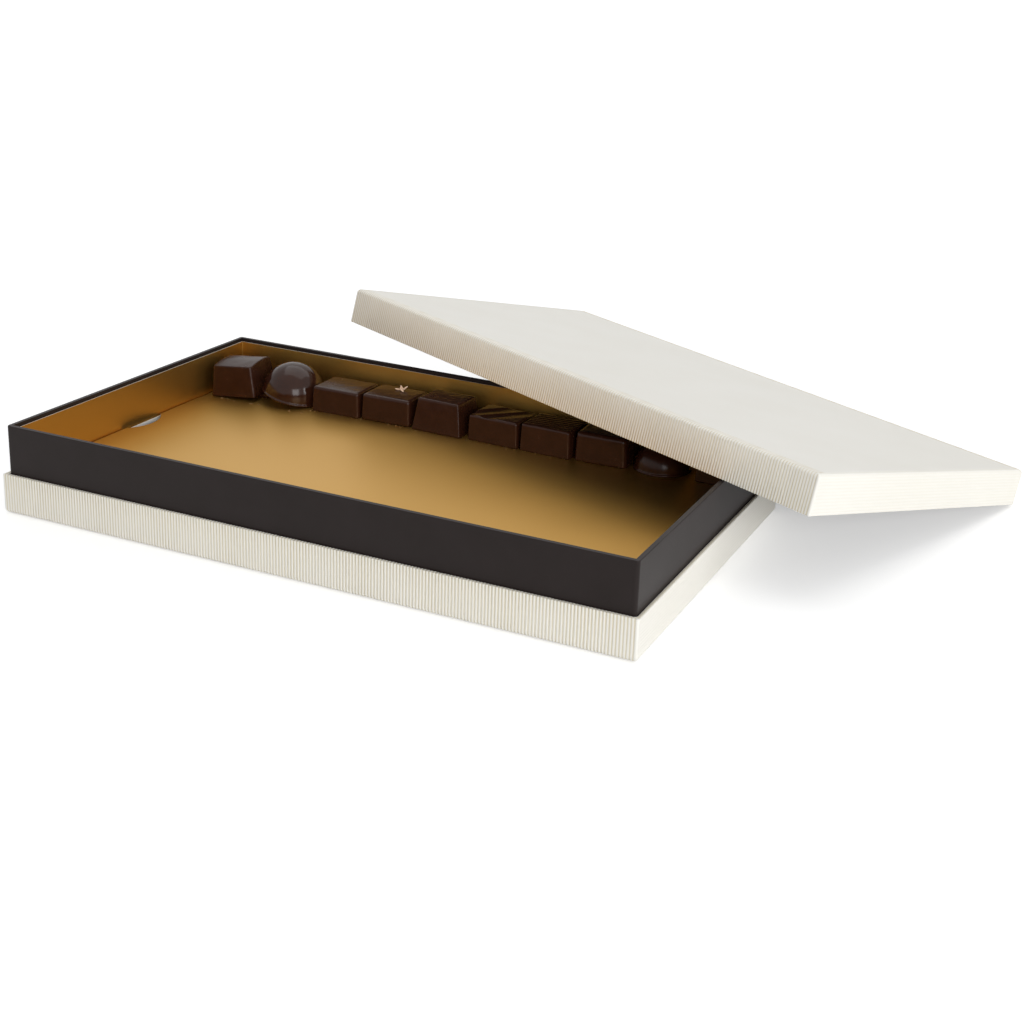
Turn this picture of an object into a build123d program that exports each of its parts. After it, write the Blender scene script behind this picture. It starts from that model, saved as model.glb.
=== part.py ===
from build123d import *
import math
import os

# A neck box of chocolates with its lid off, leaning on the box. Millimetres; the origin is the middle of the
# base's underside, +X runs along the long side, +Y to the back and +Z up.

# Grid of cells that the gold platform is sized to hold, one chocolate to a cell
cells_along = 10
cells_across = 6
cell_length = 29.0
cell_width = 27.7

# Board, paper and card
tray_board = 1.2
frame_board = 1.5
ribbed_paper = 0.35
dark_paper = 0.25
gold_card = 0.4
lining_paper = 0.2
kraft_tape = 0.12

# Heights: all but the lid's are above the surface that the box stands on
base_height = 18.0
neck_height = 40.0
platform_height = 18.2
lid_height = 18.0
lining_drop = 1.9  # from the neck's rim down to the gold lining's edge

# Clearances
neck_clearance = 0.2  # between the neck and the walls of the base or the closed lid
platform_clearance = 0.5  # between the platform's flaps and the gold lining, so that it can tip up
rest_gap = 0.3  # under the lid where it leans on the neck's rim and where its corner stands on the surface
lining_margin = 0.5  # round a paper sheet glued to a tray's floor
cut_overrun = 5.0  # how far a cutting shape runs past what it cuts

# Trays of the base and the lid
tray_edge_radius = 2.0
tray_corner_radius = 1.0
tray_rim_radius = 0.5
tray_turn_in = 12.0
board_slit = 0.2
stay_width = 14.0
stay_margin = 1.5

# Neck
neck_corner_radius = 1.5
neck_rim_radius = 0.4
neck_turn_in = 12.0
joint_tape_width = 12.0

# Gold lining and platform
lining_corner_radius = 0.8
lining_seam = 0.3
platform_fold_radius = 1.2
flap_relief = 2.5
notch_length = 27.0
notch_depth = 6.0

# Chocolates: heights and roundings, and their plan as shares of a cell
crowned_height = 15.7
crown_rise = 1.6
crown_crest_share = 0.72
crowned_inset = 1.5
crumb_length = 5.0
crumb_width = 7.0
crumb_height = 2.6
crumb_edge = 0.5
dome_drum = 0.5
dome_foot = 0.5
dome_foot_height = 0.9
plain_height = 12.8
nib_topped_height = 13.3
tall_height = 16.2
tall_inset = 2.4
wave_height = 12.9
fine_height = 13.5
round_height = 14.3
end_height = 13.6
block_inset = 0.5
crisp_edge = 0.6
soft_edge = 1.4
round_edge = 2.4
wave_hollow_width = 8.0
wave_hollow_depth = 0.7
wave_hollow_slant = 48.0
fine_groove_width = 1.3
fine_groove_depth = 0.3
fine_groove_pitch = 2.6
fine_groove_slant = 8.0
nib_length = 3.2
nib_width = 1.3
nib_thickness = 0.9
nib_edge = 0.3

row_shares = {
    "chocolate_crowned": {"length": 0.86, "width": 0.865, "along": 0.048, "across": -0.255, "turn": 5.0},
    "chocolate_dome_left": {"length": 1.117, "width": 1.17, "along": -0.01, "across": -0.135, "turn": 0.0},
    "chocolate_plain_block": {"length": 0.93, "width": 0.8, "along": 0.035, "across": -0.085, "turn": 0.8},
    "chocolate_nib_topped": {"length": 0.945, "width": 0.77, "along": 0.005, "across": -0.06, "turn": 0.8},
    "chocolate_tall_block": {"length": 0.94, "width": 0.81, "along": 0.02, "across": -0.08, "turn": -2.0},
    "chocolate_wave_topped": {"length": 0.945, "width": 0.77, "along": 0.07, "across": -0.08, "turn": -2.5},
    "chocolate_fine_lined": {"length": 0.915, "width": 0.76, "along": 0.028, "across": -0.11, "turn": -2.0},
    "chocolate_round_edged": {"length": 0.905, "width": 0.84, "along": -0.028, "across": -0.03, "turn": 2.0},
    "chocolate_dome_right": {"length": 0.952, "width": 0.997, "along": -0.08, "across": -0.02, "turn": 0.0},
    "chocolate_end_block": {"length": 0.88, "width": 0.83, "along": 0.02, "across": 0.045, "turn": 0.0},
}
tipped_left = {"chocolate_crowned": 5.0, "chocolate_dome_left": -13.0}  # degrees; the others lie flat
nib_shares = {
    "front": {"along": 0.19, "across": 0.02, "turn": -24.0},
    "left": {"along": -0.06, "across": 0.16, "turn": -42.0},
    "back": {"along": -0.10, "across": 0.36, "turn": -50.0},
    "right": {"along": 0.09, "across": 0.26, "turn": 58.0},
}

# How the lid leans: turned clockwise seen from above, with its right end lower
lid_turn = 21.1
lid_side_slope = 2.93
touch_along_share = 0.848  # where along its front wall the lid touches the neck's right rim
touch_across_share = 0.125  # how far behind the middle of the neck's right side that point is

# Sizes that follow
tray_wall = tray_board + 2 * ribbed_paper
tray_floor = ribbed_paper + tray_board
neck_wall = frame_board + 2 * dark_paper
platform_length = cells_along * cell_length
platform_width = cells_across * cell_width
neck_inner_length = platform_length + 2 * (platform_clearance + gold_card)
neck_inner_width = platform_width + 2 * (platform_clearance + gold_card)
neck_length = neck_inner_length + 2 * neck_wall
neck_width = neck_inner_width + 2 * neck_wall
tray_length = neck_length + 2 * (neck_clearance + tray_wall)
tray_width = neck_width + 2 * (neck_clearance + tray_wall)
lining_top = tray_floor + lining_paper


def slab(length, width, radius, low, high):
    """An upright block between two heights, its corners rounded in plan."""
    plan = RectangleRounded(length, width, radius) if radius > 0 else Rectangle(length, width)
    return Pos(0, 0, low) * extrude(plan, amount=high - low)


def ring(length, width, radius, wall, low, high):
    """An upright band of a given wall between two heights."""
    hole = slab(length - 2 * wall, width - 2 * wall, radius - wall, low, high)
    return slab(length, width, radius, low, high) - hole


def tray_form(height, inset):
    """A tray's outer form, set in all over, with the folds at its floor and its corners rounded."""
    length = tray_length - 2 * inset
    width = tray_width - 2 * inset
    form = Pos(0, 0, (height + inset) / 2) * Box(length, width, height - inset)
    form = fillet(form.edges().group_by(Axis.Z)[0], tray_edge_radius - inset)
    uprights = form.edges().filter_by(Axis.Z)
    return fillet(uprights, tray_corner_radius - inset)


def tray_cavity(height, inset, low):
    """The open space inside a tray whose walls are a given distance in from the outside."""
    length = tray_length - 2 * inset
    width = tray_width - 2 * inset
    return slab(length, width, 0, low, height + cut_overrun)


def tray_corner_blocks(size, low, high):
    """Four square posts that cover a tray's corners."""
    post = Box(2 * size, 2 * size, high - low)
    middle = (low + high) / 2
    places = [Pos(sx * tray_length / 2, sy * tray_width / 2, middle) for sx in (-1, 1) for sy in (-1, 1)]
    return Part() + [place * post for place in places]


def make_tray_board(height):
    """Greyboard tray folded up from one scored sheet, its short walls butted against the long ones."""
    rim = height - ribbed_paper
    board = tray_form(rim, ribbed_paper) - tray_cavity(height, tray_floor, tray_floor)
    wall_x = tray_length / 2 - ribbed_paper - tray_board / 2
    slit_y = tray_width / 2 - tray_floor - board_slit / 2
    slit = Box(tray_board + board_slit, board_slit, height)
    for sx in (-1, 1):
        for sy in (-1, 1):
            board -= Pos(sx * wall_x, sy * slit_y, tray_floor + height / 2) * slit
    return board


def make_corner_stays(height):
    """Kraft tape folded round each upright corner of the board, under the paper."""
    low = tray_edge_radius + stay_margin
    high = height - ribbed_paper - stay_margin
    sleeve = tray_form(height, ribbed_paper - kraft_tape) - tray_form(height + cut_overrun, ribbed_paper)
    return sleeve & tray_corner_blocks(stay_width, low, high)


def make_tray_wrap(height, stays):
    """Ribbed paper over the floor and walls, over the rim and turned in, pressed over the corner stays."""
    rim = height - ribbed_paper
    skin = tray_form(height, 0) - tray_form(height + cut_overrun, ribbed_paper)
    cap = ring(tray_length, tray_width, tray_corner_radius, tray_wall, rim, height)
    inner_length = tray_length - 2 * tray_floor
    inner_width = tray_width - 2 * tray_floor
    turned_in = ring(inner_length, inner_width, 0, ribbed_paper, height - tray_turn_in, height)
    wrap = skin + cap + turned_in
    wrap = fillet(wrap.faces().sort_by(Axis.Z)[-1].outer_wire().edges(), tray_rim_radius)
    return wrap - stays


def make_tray_lining():
    """Paper sheet glued to the tray's floor, inside the walls."""
    length = tray_length - 2 * (tray_wall + lining_margin)
    width = tray_width - 2 * (tray_wall + lining_margin)
    return slab(length, width, 0, tray_floor, lining_top)


def make_tray(prefix, height):
    """The four pieces of a wrapped tray that opens upwards."""
    stays = make_corner_stays(height)
    return {
        prefix + "_board": make_tray_board(height),
        prefix + "_corner_stays": stays,
        prefix + "_wrap": make_tray_wrap(height, stays),
        prefix + "_lining": make_tray_lining(),
    }


def make_neck_board():
    """Board strip folded into a frame, with one butt joint at its back right corner."""
    length = neck_length - 2 * dark_paper
    width = neck_width - 2 * dark_paper
    low = lining_top + dark_paper
    high = neck_height - dark_paper
    frame = ring(length, width, neck_corner_radius - dark_paper, frame_board, low, high)
    joint_x = length / 2 - frame_board - board_slit / 2
    joint = Box(board_slit, frame_board + board_slit, neck_height)
    return frame - Pos(joint_x, width / 2 - frame_board / 2, (low + high) / 2) * joint


def make_neck_joint_tape():
    """Tape folded into the corner behind the frame's butt joint, between the turned-in edges of the paper."""
    low = lining_top + neck_turn_in
    high = neck_height - neck_turn_in
    depth = neck_wall - dark_paper
    length = neck_length - 2 * depth
    width = neck_width - 2 * depth
    corner = Pos(length / 2, width / 2, (low + high) / 2)
    return ring(length, width, 0, kraft_tape, low, high) & corner * Box(
        2 * joint_tape_width, 2 * joint_tape_width, high - low
    )


def make_neck_wrap():
    """Dark paper over the frame's outside, over both its edges and turned in."""
    low = lining_top
    high = neck_height
    wrap = ring(neck_length, neck_width, neck_corner_radius, dark_paper, low, high)
    wrap += ring(neck_length, neck_width, neck_corner_radius, neck_wall, high - dark_paper, high)
    wrap += ring(neck_length, neck_width, neck_corner_radius, neck_wall, low, low + dark_paper)
    length = neck_inner_length + 2 * dark_paper
    width = neck_inner_width + 2 * dark_paper
    wrap += ring(length, width, 0, dark_paper, high - neck_turn_in, high)
    wrap += ring(length, width, 0, dark_paper, low, low + neck_turn_in)
    return fillet(wrap.faces().sort_by(Axis.Z)[-1].outer_wire().edges(), neck_rim_radius)


def make_gold_wall_lining():
    """Band of gold card folded round the inside of the neck, its ends meeting at the back right corner."""
    high = neck_height - lining_drop
    band = ring(neck_inner_length, neck_inner_width, lining_corner_radius, gold_card, lining_top, high)
    seam_x = neck_inner_length / 2 - lining_corner_radius - lining_seam / 2
    seam = Box(lining_seam, gold_card + lining_seam, neck_height)
    return band - Pos(seam_x, (neck_inner_width - gold_card) / 2, (lining_top + high) / 2) * seam


def make_notch():
    """Half-moon beside the platform's left fold, its straight side cut along the crease down to the flap's flat edge."""
    fold_x = gold_card - platform_length / 2
    half = notch_length / 2
    line = Line((fold_x, -half), (fold_x, half))
    arc = ThreePointArc((fold_x, half), (fold_x + notch_depth, 0), (fold_x, -half))
    half_moon = Pos(0, 0, platform_height - cut_overrun) * extrude(make_face([line, arc]), amount=2 * cut_overrun)
    flap_top = platform_height - platform_fold_radius
    crease = Box(cut_overrun, notch_length, cut_overrun)
    return half_moon + Pos(fold_x - cut_overrun / 2, 0, flap_top + cut_overrun / 2) * crease


def make_gold_platform():
    """Gold card folded down on all four sides, with a finger notch beside its left fold."""
    low = lining_top
    middle = (low + platform_height) / 2
    form = Pos(0, 0, middle) * Box(platform_length, platform_width, platform_height - low)
    form = fillet(form.edges().group_by(Axis.Z)[-1], platform_fold_radius)
    inner_high = platform_height - gold_card
    hollow = Pos(0, 0, (low + inner_high) / 2) * Box(
        platform_length - 2 * gold_card, platform_width - 2 * gold_card, inner_high - low
    )
    hollow = fillet(hollow.edges().group_by(Axis.Z)[-1], platform_fold_radius - gold_card)
    card = form - hollow
    relief_high = platform_height - platform_fold_radius
    post = Box(2 * flap_relief, 2 * flap_relief, relief_high - low)
    for sx in (-1, 1):
        for sy in (-1, 1):
            card -= Pos(sx * platform_length / 2, sy * platform_width / 2, (low + relief_high) / 2) * post
    return card - make_notch()


def size_of(name):
    """A chocolate's length along the row and its width across it."""
    shares = row_shares[name]
    return shares["length"] * cell_length, shares["width"] * cell_width


def place_of(name):
    """Where a chocolate stands on the platform: its cell in the back row, nudged, turned, tipped onto one edge."""
    shares = row_shares[name]
    cell = list(row_shares).index(name)
    x = (cell + shares["along"] - (cells_along - 1) / 2) * cell_length
    y = (shares["across"] + (cells_across - 1) / 2) * cell_width
    tip = tipped_left.get(name, 0)
    rise = size_of(name)[0] / 2 * math.sin(math.radians(abs(tip)))
    return Pos(x, y, platform_height + rise) * Rot(0, 0, shares["turn"]) * Rot(0, -tip, 0)


def moulded_block(name, height, inset, edge):
    """A moulded chocolate with sides that lean in by an inset, all but its bottom edges rounded."""
    length, width = size_of(name)
    lean = math.degrees(math.atan(inset / height))
    body = extrude(Rectangle(length, width), amount=height, taper=lean)
    return fillet(body.edges().sort_by(Axis.Z)[4:], edge)


def make_crowned(name):
    """Tall square chocolate with a vaulted top that is highest a little behind its middle."""
    length, width = size_of(name)
    body = extrude(
        Rectangle(length, width),
        amount=crowned_height + crown_rise,
        taper=math.degrees(math.atan(crowned_inset / crowned_height)),
    )
    body = fillet(body.edges().sort_by(Axis.Z)[4:8], soft_edge)
    front = crowned_inset - width / 2
    back = width / 2 - crowned_inset
    crest = (front + crown_crest_share * (back - front), crowned_height + crown_rise)
    vault = [
        TangentArc(crest, (front, crowned_height), tangent=(-1, 0)),
        TangentArc(crest, (back, crowned_height), tangent=(1, 0)),
        Polyline(
            (front, crowned_height),
            (front - cut_overrun, crowned_height),
            (front - cut_overrun, -cut_overrun),
            (back + cut_overrun, -cut_overrun),
            (back + cut_overrun, crowned_height),
            (back, crowned_height),
        ),
    ]
    return body & extrude(Plane.YZ * make_face(vault), amount=length, both=True)


def make_crumb(crowned):
    """Broken bit of chocolate under the raised edge of the crowned one, cut by the side that rests on it."""
    edge = place_of("chocolate_crowned") * Pos(size_of("chocolate_crowned")[0] / 2, 0, 0)
    middle = Pos(edge.position.X, edge.position.Y, platform_height + crumb_height / 2)
    crumb = Box(crumb_length, crumb_width, crumb_height)
    return middle * fillet(crumb.edges(), crumb_edge) - crowned


def make_dome(name):
    """Half ball with a short drum and a thin foot, as large as its cell's shares allow."""
    foot_radius = min(size_of(name)) / 2
    radius = foot_radius - dome_foot
    side = Polyline((0, 0), (radius, 0), (radius, dome_drum))
    cap = CenterArc((0, dome_drum), radius, 0, 90)
    stem = Line((0, dome_drum + radius), (0, 0))
    ball = revolve(Plane.XZ * make_face([side, cap, stem]), axis=Axis.Z)
    return ball + extrude(Circle(foot_radius), amount=dome_foot_height)


def groove(reach, width, depth, height):
    """A long round groove along X, of a given width and depth where it cuts a flat top."""
    radius = (width**2 / 4 + depth**2) / (2 * depth)
    return Pos(0, 0, height + radius - depth) * Rot(0, 90, 0) * Cylinder(radius, reach)


def make_wave_topped(name):
    """Low block with two broad hollows across its top that leave a sharp slanting fold between them."""
    block = moulded_block(name, wave_height, block_inset, soft_edge)
    length, width = size_of(name)
    hollow = groove(length + width, wave_hollow_width, wave_hollow_depth, wave_height)
    for side in (-1, 1):
        block -= Rot(0, 0, wave_hollow_slant) * Pos(0, side * wave_hollow_width / 2, 0) * hollow
    return block


def make_fine_lined(name):
    """Low block with fine grooves along its top."""
    block = moulded_block(name, fine_height, block_inset, soft_edge)
    length, width = size_of(name)
    line = groove(length + width, fine_groove_width, fine_groove_depth, fine_height)
    count = int((width - 2 * soft_edge) / fine_groove_pitch)
    for index in range(count):
        offset = (index - (count - 1) / 2) * fine_groove_pitch
        block -= Rot(0, 0, fine_groove_slant) * Pos(0, offset, 0) * line
    return block


def make_nibs(name):
    """Small pale nibs on top of their chocolate."""
    length, width = size_of(name)
    top = nib_topped_height + nib_thickness / 2
    nib = Box(nib_length, nib_width, nib_thickness)
    nib = fillet(nib.edges(), nib_edge)
    nibs = []
    for shares in nib_shares.values():
        spot = Pos(shares["along"] * length, shares["across"] * width, top)
        nibs.append(place_of(name) * spot * Rot(0, 0, shares["turn"]) * nib)
    return Compound(nibs)


def make_chocolates():
    """The back row, each chocolate in its cell."""
    shapes = {
        "chocolate_crowned": make_crowned("chocolate_crowned"),
        "chocolate_dome_left": make_dome("chocolate_dome_left"),
        "chocolate_plain_block": moulded_block("chocolate_plain_block", plain_height, block_inset, soft_edge),
        "chocolate_nib_topped": moulded_block("chocolate_nib_topped", nib_topped_height, block_inset, soft_edge),
        "chocolate_tall_block": moulded_block("chocolate_tall_block", tall_height, tall_inset, crisp_edge),
        "chocolate_wave_topped": make_wave_topped("chocolate_wave_topped"),
        "chocolate_fine_lined": make_fine_lined("chocolate_fine_lined"),
        "chocolate_round_edged": moulded_block("chocolate_round_edged", round_height, block_inset, round_edge),
        "chocolate_dome_right": make_dome("chocolate_dome_right"),
        "chocolate_end_block": moulded_block("chocolate_end_block", end_height, block_inset, soft_edge),
    }
    row = {name: place_of(name) * shape for name, shape in shapes.items()}
    row["chocolate_nibs"] = make_nibs("chocolate_nib_topped")
    row["chocolate_crumb"] = make_crumb(row["chocolate_crowned"])
    return row


def lid_pose():
    """Where the leaning lid is: its back right corner on the surface, its front wall on the neck's right rim."""
    touch_x = (touch_along_share - 1 / 2) * tray_length
    touch_y = tray_wall - tray_width / 2
    side = math.radians(lid_side_slope)
    drop_along = math.sin(side) * (tray_length / 2 - touch_x)
    sine = (neck_height - drop_along) / (math.cos(side) * (tray_width / 2 - touch_y))
    turned = Rot(0, 0, -lid_turn) * Rot(0, lid_side_slope, 0) * Rot(-math.degrees(math.asin(sine)), 0, 0)
    touch = (turned * Pos(touch_x, touch_y, 0)).position
    target = Vector(neck_length / 2, touch_across_share * neck_width / 2, neck_height + rest_gap)
    pose = Pos(*(target - touch)) * turned
    corner = pose.inverse() * Pos(neck_length / 2, neck_width / 2, neck_height)
    room = lid_height - lining_top - corner.position.Z
    return Pos(0, 0, max(0, rest_gap - room)) * pose


def make_lid():
    """The lid's four pieces, turned over and leaning on the box."""
    turned_over = Pos(0, 0, lid_height) * Rot(180, 0, 0)
    pose = lid_pose()
    return {name: pose * turned_over * piece for name, piece in make_tray("lid", lid_height).items()}


def make_box():
    """Every piece by name."""
    pieces = make_tray("base", base_height)
    pieces["neck_board"] = make_neck_board()
    pieces["neck_joint_tape"] = make_neck_joint_tape()
    pieces["neck_wrap"] = make_neck_wrap()
    pieces["gold_wall_lining"] = make_gold_wall_lining()
    pieces["gold_platform"] = make_gold_platform()
    pieces.update(make_chocolates())
    pieces.update(make_lid())
    return pieces


os.makedirs("parts", exist_ok=True)
for node, piece in make_box().items():
    export_step(piece, f"parts/{node}.step")
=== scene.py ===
import math
import random

import bmesh
import bpy
from mathutils import Matrix, Vector, noise


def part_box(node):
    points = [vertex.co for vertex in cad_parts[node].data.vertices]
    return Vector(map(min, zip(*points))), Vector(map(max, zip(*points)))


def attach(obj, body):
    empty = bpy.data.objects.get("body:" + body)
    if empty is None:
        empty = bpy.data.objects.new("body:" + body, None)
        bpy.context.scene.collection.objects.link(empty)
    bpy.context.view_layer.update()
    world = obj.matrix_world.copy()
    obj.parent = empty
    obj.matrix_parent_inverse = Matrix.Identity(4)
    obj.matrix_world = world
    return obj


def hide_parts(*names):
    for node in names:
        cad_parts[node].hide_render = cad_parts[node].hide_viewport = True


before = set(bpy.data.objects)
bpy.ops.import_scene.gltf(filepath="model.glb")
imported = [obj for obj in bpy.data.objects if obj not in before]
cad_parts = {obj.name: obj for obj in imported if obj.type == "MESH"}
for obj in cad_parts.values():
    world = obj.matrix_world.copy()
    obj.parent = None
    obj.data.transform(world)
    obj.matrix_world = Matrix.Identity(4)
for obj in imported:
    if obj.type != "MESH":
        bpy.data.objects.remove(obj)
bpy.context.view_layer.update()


# Camera: where the photograph was taken from, in front of the box and to its right, looking down on
# it by some 17 degrees. The frame is shifted a little, as in a cropped picture, and square.
MM = 0.001
camera_place = Vector((330.9, -582.1, 268.8)) * MM
camera_turn = (72.498, -2.769, 23.269)


def place_camera():
    data = bpy.data.cameras.new("camera")
    data.sensor_width = 36
    data.lens = 55.17
    data.shift_x = -0.0796
    data.shift_y = -0.1132
    data.clip_end = 20
    camera = bpy.data.objects.new("camera", data)
    camera.location = camera_place
    camera.rotation_euler = [math.radians(angle) for angle in camera_turn]
    bpy.context.collection.objects.link(camera)
    bpy.context.scene.camera = camera


place_camera()


# Studio: an even white room that glossy things mirror as plain white, and a white paper sweep under
# the box that keeps its shadow. A narrow soft box low at the right lights the end walls as a window
# would, one overhead lights the tops, and one in front lights the long walls.
room_strength = 0.39
sweep_half = 6
sweep_drop = 0.2 * MM
shadow_reach = 0.3
white_reach = 0.7
shadow_glow = 0.42
lamp_target = Vector((0, 0, 0.02))


def linear(hex_colour):
    """An sRGB colour as linear numbers with an alpha of 1."""
    parts = [int(hex_colour[i : i + 2], 16) / 255 for i in (1, 3, 5)]
    return [c / 12.92 if c <= 0.04045 else ((c + 0.055) / 1.055) ** 2.4 for c in parts] + [1]


def set_inputs(tree, node, inputs):
    """Sets each input of a node to a value, or links it to another node's output."""
    for name, value in inputs.items():
        if isinstance(value, bpy.types.NodeSocket):
            tree.links.new(value, node.inputs[name])
        else:
            node.inputs[name].default_value = value


def add_node(tree, kind, inputs=None, **settings):
    """A new node with its settings and its inputs."""
    node = tree.nodes.new(kind)
    for name, value in settings.items():
        setattr(node, name, value)
    set_inputs(tree, node, inputs or {})
    return node


def seen_directly(tree):
    """One where the camera looks straight at something or sees it mirrored, else zero."""
    path = add_node(tree, "ShaderNodeLightPath").outputs
    straight_or_mirrored = {0: path["Is Camera Ray"], 1: path["Is Glossy Ray"]}
    seen = add_node(tree, "ShaderNodeMath", straight_or_mirrored, operation="MAXIMUM")
    or_through = {0: seen.outputs[0], 1: path["Is Transmission Ray"]}
    return add_node(tree, "ShaderNodeMath", or_through, operation="MAXIMUM").outputs[0]


def make_world():
    world = bpy.data.worlds.new("studio")
    world.use_nodes = True
    tree = world.node_tree
    tree.nodes.clear()
    room_light = {"Color": linear("#FBFCFF"), "Strength": room_strength}
    room = add_node(tree, "ShaderNodeBackground", room_light)
    white = add_node(tree, "ShaderNodeBackground", {"Color": linear("#FFFFFF"), "Strength": 1.0})
    looks = {0: seen_directly(tree), 1: room.outputs[0], 2: white.outputs[0]}
    mix = add_node(tree, "ShaderNodeMixShader", looks)
    add_node(tree, "ShaderNodeOutputWorld", {"Surface": mix.outputs[0]})
    bpy.context.scene.world = world


def finish_piece(name, bm, materials):
    """An object at the origin with the finished mesh and its materials."""
    mesh = bpy.data.meshes.new(name)
    bm.to_mesh(mesh)
    bm.free()
    for material in materials:
        mesh.materials.append(material)
    piece = bpy.data.objects.new(name, mesh)
    bpy.context.collection.objects.link(piece)
    return piece


def sweep_paper():
    """White paper. It keeps the shadow near the box, and is seen as plain white farther away."""
    material = bpy.data.materials.new("white_paper_sweep")
    material.use_nodes = True
    tree = material.node_tree
    tree.nodes.clear()
    place = add_node(tree, "ShaderNodeTexCoord").outputs["Object"]
    away = add_node(tree, "ShaderNodeVectorMath", {0: place}, operation="LENGTH")
    brighter = {"Value": away.outputs["Value"], "To Min": shadow_glow, "To Max": 1.0}
    brighter |= {"From Min": shadow_reach, "From Max": white_reach}
    lift = add_node(tree, "ShaderNodeMapRange", brighter, interpolation_type="SMOOTHSTEP")
    paper = add_node(tree, "ShaderNodeBsdfDiffuse", {"Color": linear("#F1F1F0")})
    white_light = {"Color": linear("#FFFFFF"), "Strength": lift.outputs["Result"]}
    glow = add_node(tree, "ShaderNodeEmission", white_light)
    lit = add_node(tree, "ShaderNodeAddShader", {0: paper.outputs[0], 1: glow.outputs[0]})
    looks = {0: seen_directly(tree), 1: paper.outputs[0], 2: lit.outputs[0]}
    mix = add_node(tree, "ShaderNodeMixShader", looks)
    add_node(tree, "ShaderNodeOutputMaterial", {"Surface": mix.outputs[0]})
    return material


def make_sweep():
    bm = bmesh.new()
    bmesh.ops.create_grid(bm, x_segments=1, y_segments=1, size=sweep_half)
    bmesh.ops.translate(bm, vec=(0, 0, -sweep_drop), verts=bm.verts)
    finish_piece("sweep", bm, [sweep_paper()])


def soft_box(name, width, height, place, watts):
    """A soft box aimed at the middle of the box."""
    data = bpy.data.lights.new(name, "AREA")
    data.shape = "RECTANGLE"
    data.size = width
    data.size_y = height
    data.energy = watts
    lamp = bpy.data.objects.new(name, data)
    lamp.location = place
    lamp.rotation_euler = (lamp_target - Vector(place)).to_track_quat("-Z", "Y").to_euler()
    bpy.context.collection.objects.link(lamp)


make_world()
make_sweep()
soft_box("window", width=0.32, height=0.9, place=(1.87, -0.34, 0.47), watts=6.8)
soft_box("overhead", width=2.2, height=1.8, place=(-0.1, 0.6, 1.75), watts=14)
soft_box("front", width=1.2, height=1.0, place=(1.5, -1.7, 0.65), watts=22.2)

bpy.context.scene.view_settings.view_transform = "Standard"


# Ribbed paper of the base and the lid: one sheet of ivory paper each, embossed with fine ribs,
# glued over its tray, folded over the rim and turned in. The ribs run across the box, so they climb
# the long walls and lie along the short ones.
micron_digits = 6
base_low, base_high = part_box("base_wrap")
tray_length, tray_width, tray_height = (round(side, micron_digits) for side in base_high - base_low)
tray_wall = 1.9 * MM
fold_radius = 2 * MM
fold_steps = 10
corner_radius = 1 * MM
corner_steps = 5
rim_radius = 0.45 * MM
rim_steps = 4
turn_in = 12 * MM
paper_thickness = 0.35 * MM
rib_pitch = 1.44 * MM
rib_depth = 0.32 * MM
steps_per_rib = 6
taped_depth = 0.18 * MM
taped_reach = 13 * MM
ribs_fade_from = 4.5 * MM
ribs_fade_to = 6.5 * MM
panel_rib_share = 0.04
# The short walls get only a faint share of the painted groove shade.
end_painted_shade_share = 0.12
leaning = 0.1
tiny = 0.001 * MM


def start_material(name):
    """A new material, its node tree and its shader, and each point's place on the piece."""
    material = bpy.data.materials.new(name)
    material.use_nodes = True
    tree = material.node_tree
    place = add_node(tree, "ShaderNodeTexCoord").outputs["Object"]
    return material, tree, tree.nodes["Principled BSDF"], place


def embossed_paper():
    """Uncoated embossed paper: matt and faintly cloudy. Its grooves are painted darker and warmer,
    as painted shade with painted warm bounce light from the gold. Its fibres are too fine to show,
    so they are drawn about a millimetre apart."""
    fibre_spacing = 1.11 * MM
    cloud_spacing = 45 * MM
    material, tree, shader, place = start_material("embossed_ivory_paper")
    fibres = {"Vector": place, "Scale": 1 / fibre_spacing, "Detail": 3, "Roughness": 0.6}
    fibre = add_node(tree, "ShaderNodeTexNoise", fibres)
    clouds = {"Vector": place, "Scale": 1 / cloud_spacing, "Detail": 2}
    cloud = add_node(tree, "ShaderNodeTexNoise", clouds)
    tones = {"Factor": cloud.outputs["Fac"], "A": linear("#F3F0E7"), "B": linear("#F8F6EF")}
    crest = add_node(tree, "ShaderNodeMix", tones, data_type="RGBA")
    painted_groove_shade = add_node(tree, "ShaderNodeAttribute", attribute_name="painted_groove_shade")
    # Painted shade: the grooves' colour is mixed toward a darker, warmer tan.
    shade = {"Factor": painted_groove_shade.outputs["Fac"], "A": crest.outputs["Result"], "B": linear("#D5C8A6")}
    tone = add_node(tree, "ShaderNodeMix", shade, data_type="RGBA")
    grain = {"Height": fibre.outputs["Fac"], "Strength": 0.25, "Distance": 0.04 * MM}
    bump = add_node(tree, "ShaderNodeBump", grain)
    finish = {"Base Color": tone.outputs["Result"], "Normal": bump.outputs["Normal"]}
    finish |= {"Roughness": 0.85, "Specular IOR Level": 0.3}
    set_inputs(tree, shader, finish)
    return material


def quarter_turn(steps):
    """The angles that cut a quarter turn into equal steps."""
    return [step * math.pi / (2 * steps) for step in range(steps + 1)]


def outer_folds():
    """How far in and how high the sheet's folds are, from the floor's edge to its turned-in end."""
    rim_height = tray_height - rim_radius
    folds = []
    for a in quarter_turn(fold_steps):
        folds.append((fold_radius * (1 - math.sin(a)), fold_radius * (1 - math.cos(a))))
    for a in quarter_turn(rim_steps):
        folds.append((rim_radius * (1 - math.cos(a)), rim_height + rim_radius * math.sin(a)))
    for a in quarter_turn(rim_steps):
        inset = tray_wall - rim_radius * (1 - math.sin(a))
        folds.append((inset, rim_height + rim_radius * math.cos(a)))
    return folds + [(tray_wall, tray_height - turn_in)]


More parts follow.
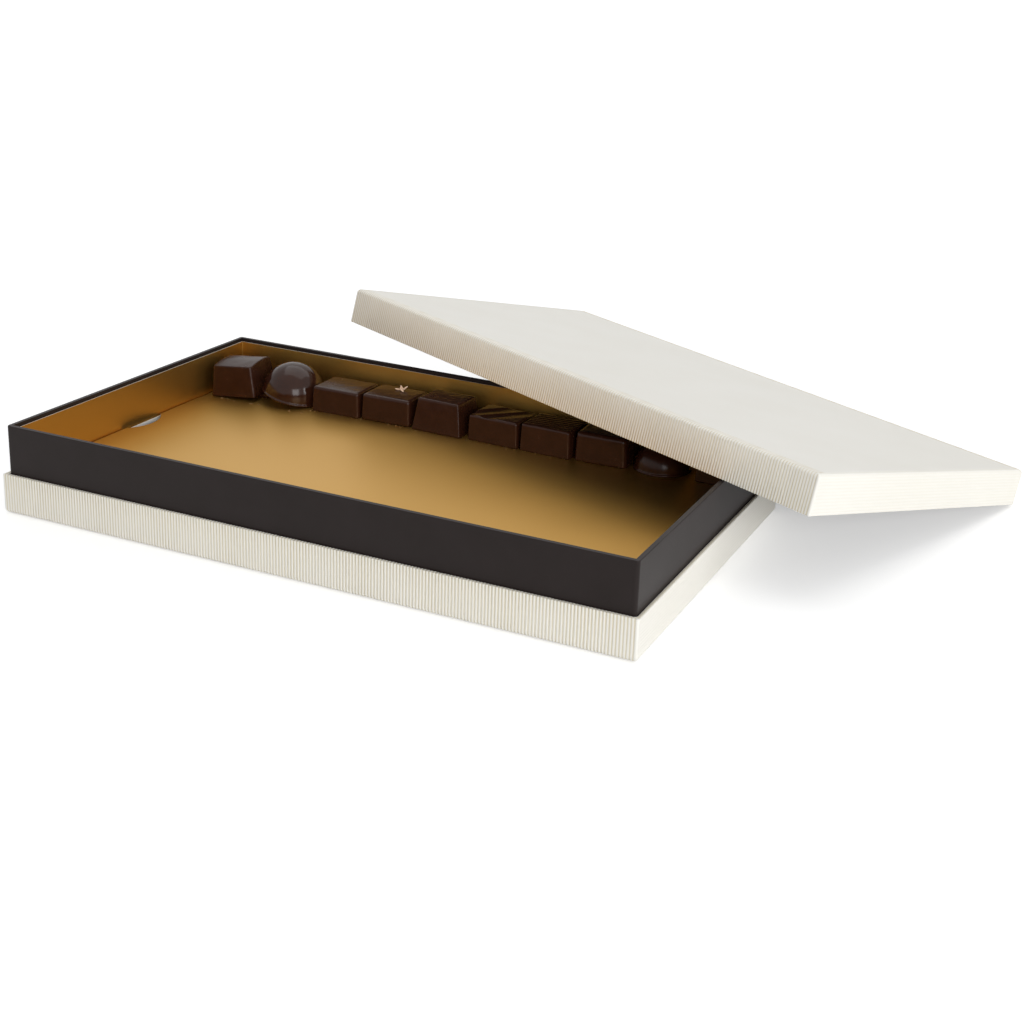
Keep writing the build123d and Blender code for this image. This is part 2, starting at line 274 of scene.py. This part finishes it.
def inner_folds():
    """The glued side of the same sheet, back from its turned-in end to the floor."""
    inner_wall = tray_wall - paper_thickness
    folds = [(inner_wall, tray_height - turn_in), (inner_wall, tray_height - paper_thickness)]
    folds += [(paper_thickness, tray_height - paper_thickness), (paper_thickness, fold_radius)]
    return folds + [(fold_radius, paper_thickness)]


def grow_sheet(bm, edges, folds, start):
    """Grows the sheet from its free edge through a list of folds, and returns its new free edge."""
    inset, height = start
    for new_inset, new_height in folds:
        grown = bmesh.ops.extrude_edge_only(bm, edges=edges)["geom"]
        verts = [g for g in grown if isinstance(g, bmesh.types.BMVert)]
        edges = [g for g in grown if isinstance(g, bmesh.types.BMEdge)]
        along = (tray_length - 2 * new_inset) / (tray_length - 2 * inset)
        across = (tray_width - 2 * new_inset) / (tray_width - 2 * inset)
        bmesh.ops.scale(bm, vec=(along, across, 1), verts=verts)
        bmesh.ops.translate(bm, vec=(0, 0, new_height - height), verts=verts)
        inset, height = new_inset, new_height
    return edges


def divide_floor(bm):
    """Cuts the floor into a middle panel and strips by the long folds, where the ribs fade out."""
    fold_line = tray_width / 2 - fold_radius
    floor_verts = [v for v in bm.verts if v.co.z < tiny]
    corners = [v for v in floor_verts if abs(abs(v.co.y) - fold_line) < tiny]
    corners.sort(key=lambda v: v.co.x)
    bmesh.ops.connect_verts(bm, verts=corners[:2])
    bmesh.ops.connect_verts(bm, verts=corners[-2:])
    for inset in (ribs_fade_from, ribs_fade_to):
        for side in (-1, 1):
            floor = [f for f in bm.faces if f.calc_center_median().z < tiny]
            edges = {e for f in floor for e in f.edges}
            verts = {v for f in floor for v in f.verts}
            cut = {"plane_co": (0, side * (tray_width / 2 - inset), 0), "plane_no": (0, 1, 0)}
            bmesh.ops.bisect_plane(bm, geom=[*floor, *edges, *verts], dist=tiny, **cut)


def divide_ribs(bm):
    """Cuts the sheet finely across its ribs: along its length, and up the short walls."""
    apart = tray_length / 2
    long_edges = [e for e in bm.edges if abs(e.verts[0].co.x - e.verts[1].co.x) > apart]
    steps = round(tray_length / rib_pitch) * steps_per_rib
    bmesh.ops.subdivide_edges(bm, edges=long_edges, cuts=steps - 1, use_grid_fill=True)
    for inset in (0, tray_wall):
        end = tray_length / 2 - inset
        on_end = [e for e in bm.edges if all(abs(abs(v.co.x) - end) < tiny for v in e.verts)]
        uprights = [e for e in on_end if abs(e.verts[0].co.z - e.verts[1].co.z) > fold_radius]
        cuts = round(uprights[0].calc_length() / rib_pitch * steps_per_rib) - 1
        bmesh.ops.subdivide_edges(bm, edges=uprights, cuts=cuts, use_grid_fill=True)


def way_across_ribs(v, on_end):
    """A point's way along the sheet, across its ribs: from the middle of the floor, round the fold,
    up the short wall and down its turned-in side."""
    fold_start = tray_length / 2 - fold_radius
    wall_start = fold_start + fold_radius * (math.pi / 2 - 1)
    if not on_end:
        return abs(v.co.x)
    if v.co.z < fold_radius:
        return fold_start + fold_radius * math.atan2(abs(v.normal.x), abs(v.normal.z))
    if v.normal.x * v.co.x > 0:
        return wall_start + v.co.z
    return wall_start + 2 * tray_height - v.co.z


def emboss(bm):
    """Presses the grooves into the sheet and marks them for the painted shade in the paper's
    colour.
    They are shallower over the corner tape, fade out on the flat panel and stop at the upright
    corners."""
    bm.normal_update()
    painted_groove_shade = bm.verts.layers.float.new("painted_groove_shade")
    moves = []
    for v in bm.verts:
        on_end = abs(v.normal.x) > leaning
        if on_end and abs(v.normal.y) > leaning:
            continue
        pressed = 1 - abs(math.sin(math.pi * way_across_ribs(v, on_end) / rib_pitch))
        if v.co.z < tiny:
            from_side = tray_width / 2 - abs(v.co.y)
            faded = (from_side - ribs_fade_from) / (ribs_fade_to - ribs_fade_from)
            pressed *= 1 - (1 - panel_rib_share) * min(max(faded, 0), 1)
        # Painted groove shade: full on the long walls, faint on the short walls, softer round the
        # fold.
        if on_end:
            v[painted_groove_shade] = pressed * end_painted_shade_share
        elif v.co.z > fold_radius:
            v[painted_groove_shade] = pressed
        else:
            v[painted_groove_shade] = pressed**2
        taped = on_end or tray_length / 2 - abs(v.co.x) < taped_reach
        moves.append((v, v.normal * pressed * (taped_depth if taped else rib_depth)))
    for v, move in moves:
        v.co -= move


def make_ribbed_tray(name, node, body, place):
    """One tray's paper: folded smooth and closed by its glued side, then divided and embossed."""
    bm = bmesh.new()
    bmesh.ops.create_grid(bm, x_segments=1, y_segments=1, size=0.5)
    floor_size = (tray_length - 2 * fold_radius, tray_width - 2 * fold_radius, 1)
    bmesh.ops.scale(bm, vec=floor_size, verts=bm.verts)
    rounding = {"offset": corner_radius, "segments": corner_steps, "profile": 0.5, "material": -1}
    bmesh.ops.bevel(bm, geom=bm.verts[:], affect="VERTICES", **rounding)
    folds = outer_folds()
    free_edge = grow_sheet(bm, bm.edges[:], folds[1:], folds[0])
    divide_floor(bm)
    inner_edge = grow_sheet(bm, free_edge, inner_folds(), folds[-1])
    bmesh.ops.contextual_create(bm, geom=inner_edge)
    bmesh.ops.recalc_face_normals(bm, faces=bm.faces)
    for face in bm.faces:
        face.smooth = True
    divide_ribs(bm)
    emboss(bm)
    bmesh.ops.transform(bm, matrix=place, verts=bm.verts)
    tray = finish_piece(name, bm, [ribbed_paper])
    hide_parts(node)
    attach(tray, body)


ribbed_paper = embossed_paper()
make_ribbed_tray("ribbed_base", "base_wrap", "base", Matrix.Identity(4))


# The lid: the same tray turned over. It leans with its front wall on the neck's right rim and its
# far right corner on the table, a little turned and with its right end lower.
_, neck_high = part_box("neck_wrap")
lid_turn = math.radians(21.1)
lid_side_slope = math.radians(2.93)
touch_along_share = 0.848
touch_across_share = 0.125
rest_gap = 0.3 * MM


def lid_pose():
    """Where the leaning lid is, from its two points of contact."""
    touch_x = (touch_along_share - 0.5) * tray_length
    touch_y = tray_wall - tray_width / 2
    drop_along = math.sin(lid_side_slope) * (tray_length / 2 - touch_x)
    reach_back = math.cos(lid_side_slope) * (tray_width / 2 - touch_y)
    back_slope = -math.asin((neck_high.z - drop_along) / reach_back)
    sloped = Matrix.Rotation(lid_side_slope, 4, "Y") @ Matrix.Rotation(back_slope, 4, "X")
    turned = Matrix.Rotation(-lid_turn, 4, "Z") @ sloped
    touch = turned @ Vector((touch_x, touch_y, 0))
    rim = Vector((neck_high.x, touch_across_share * neck_high.y, neck_high.z + rest_gap))
    turned_over = Matrix.Translation((0, 0, tray_height)) @ Matrix.Rotation(math.pi, 4, "X")
    return Matrix.Translation(rim - touch) @ turned @ turned_over


make_ribbed_tray("ribbed_lid", "lid_wrap", "lid", lid_pose())


# Greyboard trays and the board frame of the neck, folded from scored sheet: dull recycled board.
# All of it is closed in by paper; only its cut faces would show in a torn box.
felt_spacing = 8.3 * MM
felt_depth = 0.05 * MM
pulp_spacing = 1.43 * MM


def mottled(name, low, high, roughness, spacing=felt_spacing, relief=0.1):
    """Matt stuff that is nowhere quite even: its tone drifts between two near colours, and its
    surface rises and falls with it."""
    material, tree, shader, place = start_material(name)
    drift = {"Vector": place, "Scale": 1 / spacing, "Detail": 4}
    cloud = add_node(tree, "ShaderNodeTexNoise", drift)
    tones = {"Factor": cloud.outputs["Fac"], "A": linear(low), "B": linear(high)}
    tone = add_node(tree, "ShaderNodeMix", tones, data_type="RGBA")
    felt = {"Height": cloud.outputs["Fac"], "Strength": relief, "Distance": felt_depth}
    bump = add_node(tree, "ShaderNodeBump", felt)
    finish = {"Base Color": tone.outputs["Result"], "Normal": bump.outputs["Normal"]}
    set_inputs(tree, shader, finish | {"Roughness": roughness})
    return material


def dress(material, *nodes):
    """Gives CAD nodes their material."""
    for node in nodes:
        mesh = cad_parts[node].data
        mesh.materials.clear()
        mesh.materials.append(material)


# Recycled board: grey-brown and quite dull, with darker specks of pulp.
greyboard = mottled("recycled_greyboard", "#8E877C", "#B3ABA0", 0.9, pulp_spacing, 0.3)
dress(greyboard, "base_board", "neck_board", "lid_board")


# Kraft tape over the trays' upright corners and the neck's joint, and the plain white paper glued
# over the base tray's floor: thin machine-made papers. The tape is unbleached, so it is brown, with
# a slight sheen from the rollers; the lining is a warm white without gloss.
kraft_tape = mottled("kraft_tape", "#A98A5E", "#B89A6E", 0.7)
dress(kraft_tape, "base_corner_stays", "lid_corner_stays", "neck_joint_tape")
white_lining_paper = mottled("white_lining_paper", "#E9E5DA", "#EFECE2", 0.8)
dress(white_lining_paper, "base_lining")


# Neck paper and the lid's lining: a dark brown, almost black, paper, smooth and lightly calendered.
# It stays dark from the front and greys where the light at the right glances off it.
def calendered_paper():
    """Dark dyed paper pressed smooth between rollers: a satin skin. The grain under it is too fine
    to show, so it is drawn two thirds of a millimetre apart."""
    grain_spacing = 0.67 * MM
    cloud_spacing = 16.7 * MM
    material, tree, shader, place = start_material("dark_calendered_paper")
    grains = {"Vector": place, "Scale": 1 / grain_spacing, "Detail": 3}
    grain = add_node(tree, "ShaderNodeTexNoise", grains)
    clouds = {"Vector": place, "Scale": 1 / cloud_spacing, "Detail": 4}
    cloud = add_node(tree, "ShaderNodeTexNoise", clouds)
    tones = {"Factor": cloud.outputs["Fac"], "A": linear("#1F1816"), "B": linear("#282120")}
    tone = add_node(tree, "ShaderNodeMix", tones, data_type="RGBA")
    skin = {"Height": grain.outputs["Fac"], "Strength": 0.15, "Distance": 0.02 * MM}
    bump = add_node(tree, "ShaderNodeBump", skin)
    finish = {"Base Color": tone.outputs["Result"], "Normal": bump.outputs["Normal"]}
    finish |= {"Roughness": 0.44, "Specular IOR Level": 0.16}
    set_inputs(tree, shader, finish)
    return material


dress(calendered_paper(), "neck_wrap", "lid_lining")


# Gold card: board with a gold film on one side and a white back. A band of it lines the neck; a
# second sheet is folded down on four sides as the platform. The satin film mirrors the box round it
# as soft dark and bright areas, and its cut edges are pale.
card_thickness = 0.4 * MM
platform_fold = 1.2 * MM
hair = 0.02 * MM
level = 0.99
GOLD_SIDE, WHITE_SIDE, CUT_SIDE = range(3)
platform_low, platform_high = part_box("gold_platform")


def gold_film():
    """Metallised film under satin lacquer: a metal, blurred by its grain and by slight waves in the
    card. The grain is too fine to show, so it is drawn over half a millimetre apart."""
    wave_spacing = 71 * MM
    grain_spacing = 0.625 * MM
    grain_share = 0.03
    relief = 0.6 * MM
    material, tree, shader, place = start_material("satin_gold_film")
    waves = {"Vector": place, "Scale": 1 / wave_spacing, "Detail": 1}
    wave = add_node(tree, "ShaderNodeTexNoise", waves)
    grains = {"Vector": place, "Scale": 1 / grain_spacing, "Detail": 2}
    grain = add_node(tree, "ShaderNodeTexNoise", grains)
    layers = {0: grain.outputs["Fac"], 1: grain_share, 2: wave.outputs["Fac"]}
    height = add_node(tree, "ShaderNodeMath", layers, operation="MULTIPLY_ADD")
    skin = {"Height": height.outputs[0], "Strength": 1.0, "Distance": relief}
    bump = add_node(tree, "ShaderNodeBump", skin)
    shader.distribution = "GGX"
    finish = {"Base Color": linear("#C4984D"), "Normal": bump.outputs["Normal"]}
    set_inputs(tree, shader, finish | {"Metallic": 1.0, "Roughness": 0.39})
    return material


def bare_card(name, colour):
    """Uncoated card, on its back or at its cut edge: matt and pale. Its fibres are too fine to
    show, so they are drawn nearly a millimetre apart."""
    fibre_spacing = 0.83 * MM
    material, tree, shader, place = start_material(name)
    fibres = {"Vector": place, "Scale": 1 / fibre_spacing, "Detail": 3}
    fibre = add_node(tree, "ShaderNodeTexNoise", fibres)
    felt = {"Height": fibre.outputs["Fac"], "Strength": 0.2, "Distance": 0.03 * MM}
    bump = add_node(tree, "ShaderNodeBump", felt)
    finish = {"Base Color": linear(colour), "Normal": bump.outputs["Normal"]}
    set_inputs(tree, shader, finish | {"Roughness": 0.85})
    return material


def lining_side(centre, normal):
    """The lining's gold faces the chocolates; its back is glued to the neck."""
    if abs(normal.z) > level:
        return CUT_SIDE
    outward = Vector((centre.x, centre.y * tray_length / tray_width, 0))
    return GOLD_SIDE if normal.dot(outward) < 0 else WHITE_SIDE


def platform_side(centre, normal):
    """The platform's gold is outside. Its back shows in the notch, with the cut edge round it."""
    from_top = platform_high.z - centre.z
    from_side = min(platform_high.x - abs(centre.x), platform_high.y - abs(centre.y))
    inside_card = card_thickness - hair
    round_notch = abs(normal.z) < leaning and from_top < inside_card and from_side > inside_card
    notch_in_flap = normal.z > level and from_top > hair and from_side < card_thickness
    flap_foot = normal.z < -level and centre.z < platform_low.z + card_thickness / 4
    if round_notch or notch_in_flap or flap_foot:
        return CUT_SIDE
    past_x = abs(centre.x) - platform_high.x + platform_fold
    past_y = abs(centre.y) - platform_high.y + platform_fold
    past_fold = Vector((max(past_x, 0), max(past_y, 0), max(platform_fold - from_top, 0)))
    return GOLD_SIDE if past_fold.length > platform_fold - card_thickness / 2 else WHITE_SIDE


def make_gold_card(name, node, body, side_of):
    """A copy of a CAD card whose faces are sorted into gold, white back and cut edge."""
    bm = bmesh.new()
    bm.from_mesh(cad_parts[node].data)
    bmesh.ops.remove_doubles(bm, verts=bm.verts, dist=tiny)
    for face in bm.faces:
        face.smooth = False
        face.material_index = side_of(face.calc_center_median(), face.normal)
    card = finish_piece(name, bm, gold_card)
    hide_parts(node)
    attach(card, body)


card_back = bare_card("white_card_back", "#F2F1EC")
card_edge = bare_card("card_cut_edge", "#EFE3CC")
gold_card = (gold_film(), card_back, card_edge)
make_gold_card("gold_lining_card", "gold_wall_lining", "base", lining_side)
make_gold_card("gold_platform_card", "gold_platform", "pad", platform_side)


# Chocolates: cast in moulds from dark chocolate, almost black-brown, each a little uneven. The
# blocks have a thin waxy skin that greys on top, where the light grazes it, and catches the window
# along upright edges; the left dome comes from a polished mould and mirrors the window.
mould_mesh = 0.3 * MM
mould_waves = 9 * MM
mould_unevenness = 0.3 * MM
mould_level = 0.6
top_zone = 2 * MM
rough_spacing = 2.2 * MM


def dark_chocolate(name, roughness, gloss_level):
    """Tempered dark chocolate: a dense brown body under a waxy skin, which a faint bloom dulls in
    places. Its pits are too fine to show, so they are drawn about a millimetre apart."""
    bloom_spacing = 6.25 * MM
    pit_spacing = 1.11 * MM
    clearer, duller = roughness - 0.06, roughness + 0.08
    material, tree, shader, place = start_material(name)
    blooms = {"Vector": place, "Scale": 1 / bloom_spacing, "Detail": 4}
    bloom = add_node(tree, "ShaderNodeTexNoise", blooms)
    pits = {"Vector": place, "Scale": 1 / pit_spacing, "Detail": 3}
    pit = add_node(tree, "ShaderNodeTexNoise", pits)
    tones = {"Factor": bloom.outputs["Fac"], "A": linear("#28130B"), "B": linear("#3A2015")}
    tone = add_node(tree, "ShaderNodeMix", tones, data_type="RGBA")
    dulling = {"Value": bloom.outputs["Fac"], "To Min": clearer, "To Max": duller}
    gloss = add_node(tree, "ShaderNodeMapRange", dulling)
    pitting = {"Height": pit.outputs["Fac"], "Strength": 0.1, "Distance": 0.02 * MM}
    bump = add_node(tree, "ShaderNodeBump", pitting)
    finish = {"Base Color": tone.outputs["Result"], "Normal": bump.outputs["Normal"]}
    finish |= {"Roughness": gloss.outputs["Result"], "Specular IOR Level": gloss_level}
    set_inputs(tree, shader, finish)
    return material


def make_chocolate(node, material, soft_passes, rough_top=0.0):
    """A copy of a CAD chocolate, remeshed finely, its edges softened by passes of smoothing, a
    little uneven, and perhaps rough on top. Its foot stays flat."""
    piece = bpy.data.objects.new(node + "_moulded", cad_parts[node].data.copy())
    bpy.context.collection.objects.link(piece)
    low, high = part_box(node)
    remesh = piece.modifiers.new("even_mesh", "REMESH")
    remesh.mode = "VOXEL"
    remesh.voxel_size = mould_mesh
    soften = piece.modifiers.new("soften", "SMOOTH")
    soften.iterations = soft_passes
    texture = bpy.data.textures.new(node + "_unevenness", "CLOUDS")
    texture.noise_scale = mould_waves
    push = piece.modifiers.new("unevenness", "DISPLACE")
    push.texture = texture
    push.texture_coords = "LOCAL"
    push.mid_level = mould_level
    push.strength = mould_unevenness
    depsgraph = bpy.context.evaluated_depsgraph_get()
    shape = bpy.data.meshes.new_from_object(piece.evaluated_get(depsgraph))
    piece.modifiers.clear()
    piece.data = shape
    for v in shape.vertices:
        if v.co.z > high.z - top_zone:
            v.co.z -= rough_top * abs(noise.noise(v.co / rough_spacing))
        v.co.z = max(v.co.z, low.z)
    for polygon in shape.polygons:
        polygon.use_smooth = True
    shape.materials.clear()
    shape.materials.append(material)
    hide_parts(node)
    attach(piece, "pad")


moulded = dark_chocolate("moulded_dark_chocolate", 0.24, 0.18)
polished = dark_chocolate("polished_dark_chocolate", 0.13, 0.26)
make_chocolate("chocolate_crowned", moulded, 6)
make_chocolate("chocolate_dome_left", polished, 3)
make_chocolate("chocolate_dome_right", moulded, 3)
make_chocolate("chocolate_plain_block", moulded, 14)
make_chocolate("chocolate_nib_topped", moulded, 55)
make_chocolate("chocolate_tall_block", moulded, 24, rough_top=0.15 * MM)
make_chocolate("chocolate_wave_topped", moulded, 4)
make_chocolate("chocolate_fine_lined", moulded, 3)
make_chocolate("chocolate_round_edged", moulded, 20)
make_chocolate("chocolate_end_block", moulded, 8)
make_chocolate("chocolate_crumb", moulded, 2)


# Flakes: crumbs of the same chocolate, knocked off in packing and lying by the feet of the row.
# They are dull where they broke, and a few are painted pale as painted glints that catch the eye.
flake_count = 46
flake_seed = 11
flake_size = 0.45 * MM
flake_size_share = (0.5, 1.3)
flake_reach = (0.1 * MM, 1.4 * MM)
flake_width_share = (0.4, 0.8)
flake_height_share = (0.3, 0.6)
flake_lift_share = 0.3


def make_flakes():
    """Small irregular chips, each a squeezed ball, scattered in front of the row's feet."""
    chance = random.Random(flake_seed)
    names = ("crowned", "dome_left", "plain_block", "nib_topped")
    names += ("tall_block", "wave_topped", "fine_lined")
    bm = bmesh.new()
    for _ in range(flake_count):
        low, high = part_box("chocolate_" + chance.choice(names))
        size = flake_size * chance.uniform(*flake_size_share)
        along = chance.uniform(low.x, high.x)
        place = Matrix.Translation((along, low.y - chance.uniform(*flake_reach), low.z))
        turn = Matrix.Rotation(chance.uniform(0, 3), 4, "Z")
        width = chance.uniform(*flake_width_share)
        squeeze = Matrix.Diagonal((1, width, chance.uniform(*flake_height_share), 1))
        lift = Matrix.Translation((0, 0, size * flake_lift_share))
        shape = place @ lift @ turn @ squeeze
        bmesh.ops.create_icosphere(bm, subdivisions=1, radius=size, matrix=shape)
    # Broken chocolate and painted glints: each flake shows one tone between dark and milky brown,
    # and the pale tones are painted glints.
    broken_chocolate_and_painted_glint = mottled("broken_chocolate_and_painted_glint", "#5A3A22", "#A07A48", 0.45)
    flakes = finish_piece("chocolate_flakes", bm, [broken_chocolate_and_painted_glint])
    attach(flakes, "pad")


make_flakes()


# Nibs: four slivers of roasted nut stuck on one chocolate while it was soft, leaning on each other
# in a small heap. Each has its place to the right, back and up in millimetres, its turn and lean.
sliver_size = (3.8 * MM, 1.2 * MM, 0.9 * MM)
sliver_places = (
    (-1.9, -0.1, 0.3, 20, 8),
    (-0.5, 0.9, 1.0, -35, 28),
    (1.3, 0.7, 1.1, 30, -38),
    (0.6, -1.3, 0.8, -30, 24),
)
chip_spacing = 0.9 * MM
chip_depth = 0.12 * MM
chip_seed = 11


def make_slivers():
    """Slivers around the middle of the CAD nibs, each stretched from a ball, turned and leant."""
    low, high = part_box("chocolate_nibs")
    middle = (low + high) / 2
    bm = bmesh.new()
    for right, back, up, turn, lean in sliver_places:
        spot = (middle.x + right * MM, middle.y + back * MM, low.z + up * MM)
        turned = Matrix.Rotation(math.radians(turn), 4, "Z")
        leant = Matrix.Rotation(math.radians(lean), 4, "Y")
        stretch = Matrix.Diagonal((*sliver_size, 1))
        shape = Matrix.Translation(spot) @ turned @ leant @ stretch
        bmesh.ops.create_icosphere(bm, subdivisions=3, radius=0.5, matrix=shape)
    noise.seed_set(chip_seed)
    for v in bm.verts:
        v.co += noise.noise_vector(v.co / chip_spacing) * chip_depth
    for face in bm.faces:
        face.smooth = True
    # Roasted nut: pale and dry, a little browner in places.
    roasted_nut = mottled("roasted_nut", "#D9AE8C", "#EBCDB0", 0.6)
    slivers = finish_piece("nib_slivers", bm, [roasted_nut])
    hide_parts("chocolate_nibs")
    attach(slivers, "pad")


make_slivers()
